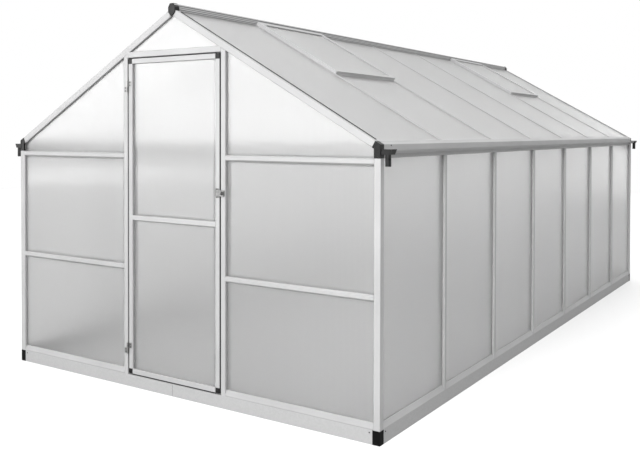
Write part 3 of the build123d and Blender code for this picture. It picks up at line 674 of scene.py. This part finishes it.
def plateScrews(x, middle, spread):
    # one screw below and one above the middle of a plate on the front
    front = doorLow.y - screwShape["leafPlate"]
    return [(Vector((x, front, middle + side * spread)), (0, -1, 0)) for side in (-1, 1)]


def doorScrewPlaces(leaves):
    places = []
    for low, high in leaves:
        middle = (low.z + high.z) / 2
        places += plateScrews(high.x - screwShape["leafEdge"], middle, screwShape["leafSpread"])
    low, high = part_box("door_hasp")
    middle = (low.z + high.z) / 2
    places += plateScrews(low.x + screwShape["haspEdge"], middle, screwShape["haspSpread"])
    return places


def frameScrewPlaces(leaves):
    leafLow, leafHigh = leaves[0]
    places = []
    for box in partBoxes("jamb_hinge_leaves"):      # taller than the leaf, by the pin
        low = box[0]
        middle = low.z + (leafHigh.z - leafLow.z) / 2
        places += plateScrews(low.x + screwShape["leafEdge"], middle, screwShape["leafSpread"])
    baseX = wallHigh.x - screwShape["baseEnd"]
    baseY = wallHigh.y - screwShape["baseEnd"]
    baseZ = screwShape["baseHeight"]
    eaveY = eaveHigh.y - screwShape["eaveEnd"]
    eaveZ = eaveHigh.z - screwShape["eaveDrop"]
    for sideX in (-1, 1):
        for sideY in (-1, 1):
            places.append((Vector((sideX * baseX, sideY * wallHigh.y, baseZ)), (0, sideY, 0)))
            places.append((Vector((sideX * wallHigh.x, sideY * baseY, baseZ)), (sideX, 0, 0)))
            places.append((Vector((sideX * wallHigh.x, sideY * eaveY, eaveZ)), (sideX, 0, 0)))
    return places


screw = screwHead()
doorLeaves = partBoxes("door_hinge_leaves")
copyTo(screw, doorScrewPlaces(doorLeaves), "doorScrews", "door", screwSteel)
copyTo(screw, frameScrewPlaces(doorLeaves), "frameScrews", "frame", screwSteel)
bpy.data.objects.remove(screw)
print("screws done")


# Nuts that hold each wall bar to the base and to the eave, on the inside
nutShape = dict(
    radius=0.0068, height=0.0052, sides=6, chamfer=0.0008,
    washerRadius=0.0085, washerHeight=0.0012, washerSides=20, washerRound=0.0003,
    boltInset=0.0030, boltReach=0.0045, footHeight=0.040, headDrop=0.040,
)


def boltAndNut():
    startCylinder(nutShape["washerSides"], nutShape["washerRadius"], nutShape["washerHeight"])
    bpy.ops.object.modifier_add(type="BEVEL")
    bpy.context.object.modifiers[0].width = nutShape["washerRound"]
    ring = applyAll()
    startCylinder(nutShape["sides"], nutShape["radius"], nutShape["height"], nutShape["washerHeight"])
    selectTop()
    bpy.ops.mesh.inset(thickness=nutShape["chamfer"], depth=nutShape["chamfer"] / 2)
    bpy.ops.mesh.inset(thickness=nutShape["boltInset"], depth=0)
    bpy.ops.mesh.extrude_region_move(TRANSFORM_OT_translate={"value": (0, 0, nutShape["boltReach"])})
    bpy.ops.mesh.inset(thickness=nutShape["chamfer"], depth=nutShape["chamfer"])
    nut = applyAll()
    return joinAll([nut, ring], "barNut")


def nutPlaces():
    places = []
    for nodeName, inward in (("left_wall_bars", 1), ("right_wall_bars", -1)):
        for low, high in partBoxes(nodeName):
            inner = high.x if inward > 0 else low.x
            middle = (low.y + high.y) / 2
            for height in (low.z + nutShape["footHeight"], high.z - nutShape["headDrop"]):
                places.append((Vector((inner, middle, height)), (inward, 0, 0)))
    return places


nut = boltAndNut()
copyTo(nut, nutPlaces(), "wallBarNuts", "frame", zincHardware)
bpy.data.objects.remove(nut)
print("nuts done")


# Seam where the two halves of each gable's base meet
seamShape = dict(width=0.0016, proud=0.0003, edge=0.004, round=0.0001)


def baseSeams():
    strips = []
    for nodeName, side in (("base_front", -1), ("base_rear", 1)):
        low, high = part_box(nodeName)
        face = low.y if side < 0 else high.y
        tall = high.z - low.z - 2 * seamShape["edge"]
        middle = ((low.x + high.x) / 2, face, (low.z + high.z) / 2)
        startCube((seamShape["width"], 2 * seamShape["proud"], tall), middle)
        bpy.ops.mesh.bevel(offset=seamShape["round"], segments=1, affect="EDGES")
        strips.append(applyAll())
    piece = joinAll(strips, "baseSeams")
    piece.data.materials.append(seamMetal)
    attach(piece, "frame")


baseSeams()
print("base seams done")


# Floor, light and camera
stageLook = dict(
    floorSize=26.0, floorDrop=0.0005, floorColor=(0.90, 0.90, 0.90, 1), bounceColor=(0.40, 0.40, 0.40, 1),
    floorThroughSheets=0.6, floorRough=0.7, floorShine=0.1,
)


def makeFloor():
    deselectAll()
    bpy.ops.mesh.primitive_plane_add(size=stageLook["floorSize"], location=(0, 0, -stageLook["floorDrop"]))
    floor = bpy.context.object
    floor.name = "studioFloor"
    material, tree, shader = newMaterial("studioFloor")
    path = tree.nodes.new("ShaderNodeLightPath")
    shade = tree.nodes.new("ShaderNodeMix")      # pale to look at, but throws little light back up
    shade.data_type = "RGBA"
    shade.inputs["A"].default_value = stageLook["bounceColor"]
    shade.inputs["B"].default_value = stageLook["floorColor"]
    through = tree.nodes.new("ShaderNodeMath")
    through.operation = "MULTIPLY_ADD"
    through.inputs[1].default_value = stageLook["floorThroughSheets"]
    tree.links.new(path.outputs["Is Transmission Ray"], through.inputs[0])
    tree.links.new(path.outputs["Is Camera Ray"], through.inputs[2])
    tree.links.new(through.outputs["Value"], shade.inputs["Factor"])
    tree.links.new(shade.outputs["Result"], shader.inputs["Base Color"])
    shader.inputs["Roughness"].default_value = stageLook["floorRough"]
    shader.inputs["Specular IOR Level"].default_value = stageLook["floorShine"]
    floor.data.materials.append(material)


lightLook = dict(
    leftFill=0.36, rightFill=0.55, overhead=1.08, fillTop=0.45, fillAbove=0.95, white=(1, 1, 1, 1),
    band=3.95, bandTowards=(-0.70, -0.70, 0.16), bandSpan=(0.66, 0.97), bandHeight=(-0.14, 0.40),
    bandSteps=[(0.0, 0.0), (0.226, 0.01), (0.241, 1.0), (0.60, 1.0), (0.82, 0.0)],
    streak=1.7, streakTowards=(-0.90, -0.45, -0.04), streakSpan=(0.88, 0.985),
    streakRise=(-0.072, -0.054), streakFall=(-0.046, -0.036),
    rear=2.6, rearTowards=(-0.36, 0.93, 0.0), rearSpan=(0.74, 1.0), rearFall=(0.06, 0.28),
    keySpot=(2.9, -9.0, 3.8), keyAim=(0.4, -2.2, 0.9), keySize=4.0, keyPower=620.0,
)


def combine(tree, kind, first, second):
    node = tree.nodes.new("ShaderNodeMath")
    node.operation = kind
    tree.links.new(first, node.inputs[0])
    tree.links.new(second, node.inputs[1])
    return node.outputs["Value"]


def easedRange(tree, value, span, ends):
    shade = tree.nodes.new("ShaderNodeMapRange")
    shade.interpolation_type = "SMOOTHSTEP"
    shade.inputs["From Min"].default_value = span[0]
    shade.inputs["From Max"].default_value = span[1]
    shade.inputs["To Min"].default_value = ends[0]
    shade.inputs["To Max"].default_value = ends[1]
    tree.links.new(value, shade.inputs["Value"])
    return shade.outputs["Result"]


def glowTowards(tree, place, kind):
    # soft round patch of light in one direction
    facing = tree.nodes.new("ShaderNodeVectorMath")
    facing.operation = "DOT_PRODUCT"
    facing.inputs[1].default_value = Vector(lightLook[kind + "Towards"]).normalized()
    tree.links.new(place.outputs["Generated"], facing.inputs[0])
    return easedRange(tree, facing.outputs["Value"], lightLook[kind + "Span"], (0, lightLook[kind]))


def frontWall(tree, place, height):
    # bright wall in front, to the left, and a dimmer streak lower down
    rows = tree.nodes.new("ShaderNodeMapRange")
    rows.inputs["From Min"].default_value = lightLook["bandHeight"][0]
    rows.inputs["From Max"].default_value = lightLook["bandHeight"][1]
    tree.links.new(height, rows.inputs["Value"])
    steps = tree.nodes.new("ShaderNodeValToRGB")
    while len(steps.color_ramp.elements) < len(lightLook["bandSteps"]):
        steps.color_ramp.elements.new(1.0)
    for element, (position, grey) in zip(steps.color_ramp.elements, lightLook["bandSteps"]):
        element.position = position
        element.color = (grey, grey, grey, 1)
    tree.links.new(rows.outputs["Result"], steps.inputs["Fac"])
    wall = combine(tree, "MULTIPLY", glowTowards(tree, place, "band"), steps.outputs["Color"])
    rise = easedRange(tree, height, lightLook["streakRise"], (0, 1))
    fall = easedRange(tree, height, lightLook["streakFall"], (1, 0))
    streak = combine(tree, "MULTIPLY", glowTowards(tree, place, "streak"), rise)
    return combine(tree, "ADD", wall, combine(tree, "MULTIPLY", streak, fall))


def softSurround(tree, place, axes):
    # soft light from both sides, from above, and from behind low down
    height = axes.outputs["Z"]
    sides = easedRange(tree, axes.outputs["X"], (-1, 1), (lightLook["leftFill"], lightLook["rightFill"]))
    fade = easedRange(tree, height, (0, lightLook["fillTop"]), (1, lightLook["fillAbove"]))
    ceiling = easedRange(tree, height, (0, 1), (0, lightLook["overhead"]))
    around = combine(tree, "ADD", combine(tree, "MULTIPLY", sides, fade), ceiling)
    lowOnly = easedRange(tree, height, lightLook["rearFall"], (1, 0))
    rear = combine(tree, "MULTIPLY", glowTowards(tree, place, "rear"), lowOnly)
    return combine(tree, "ADD", around, rear)


def makeWorld():
    world = bpy.data.worlds.new("studio")
    bpy.context.scene.world = world
    world.use_nodes = True
    tree = world.node_tree
    place = tree.nodes.new("ShaderNodeTexCoord")
    axes = tree.nodes.new("ShaderNodeSeparateXYZ")
    tree.links.new(place.outputs["Generated"], axes.inputs["Vector"])
    wall = frontWall(tree, place, axes.outputs["Z"])
    total = combine(tree, "ADD", softSurround(tree, place, axes), wall)
    glow = tree.nodes["Background"]
    glow.inputs["Color"].default_value = lightLook["white"]
    tree.links.new(total, glow.inputs["Strength"])
    paper = tree.nodes.new("ShaderNodeBackground")      # what the camera sees behind the floor
    paper.inputs["Color"].default_value = lightLook["white"]
    path = tree.nodes.new("ShaderNodeLightPath")
    mix = tree.nodes.new("ShaderNodeMixShader")
    tree.links.new(path.outputs["Is Camera Ray"], mix.inputs["Fac"])
    tree.links.new(glow.outputs["Background"], mix.inputs[1])
    tree.links.new(paper.outputs["Background"], mix.inputs[2])
    tree.links.new(mix.outputs["Shader"], tree.nodes["World Output"].inputs["Surface"])


def makeKeyLight():
    spot = Vector(lightLook["keySpot"])
    aim = (Vector(lightLook["keyAim"]) - spot).to_track_quat("-Z", "Y").to_euler()
    bpy.ops.object.light_add(type="AREA", location=spot, rotation=aim)
    key = bpy.context.object
    key.name = "keyLight"
    key.data.size = lightLook["keySize"]
    key.data.energy = lightLook["keyPower"]


shot = dict(
    spot=(2.8248, -5.2970, 1.3221), yaw=33.105, pitch=1.050, roll=0.117,
    focal=814.3, imageWidth=640.0, imageHeight=449.0, sensor=36.0,
    axisRow=147.0,      # row of the picture that the lens points at
)


def makeCamera():
    bpy.ops.object.camera_add()
    camera = bpy.context.object
    camera.name = "photoCamera"
    camera.data.sensor_width = shot["sensor"]
    camera.data.lens = shot["focal"] / shot["imageWidth"] * shot["sensor"]
    camera.data.shift_y = (shot["axisRow"] - shot["imageHeight"] / 2) / shot["imageWidth"]
    yaw = Matrix.Rotation(math.radians(shot["yaw"]), 4, "Z")
    pitch = Matrix.Rotation(math.radians(90 - shot["pitch"]), 4, "X")
    roll = Matrix.Rotation(math.radians(shot["roll"]), 4, "Z")
    camera.matrix_world = Matrix.Translation(shot["spot"]) @ yaw @ pitch @ roll
    bpy.context.scene.camera = camera


makeFloor()
makeWorld()
makeKeyLight()
makeCamera()
bpy.context.scene.view_settings.view_transform = "Standard"
print("stage, light and camera done")
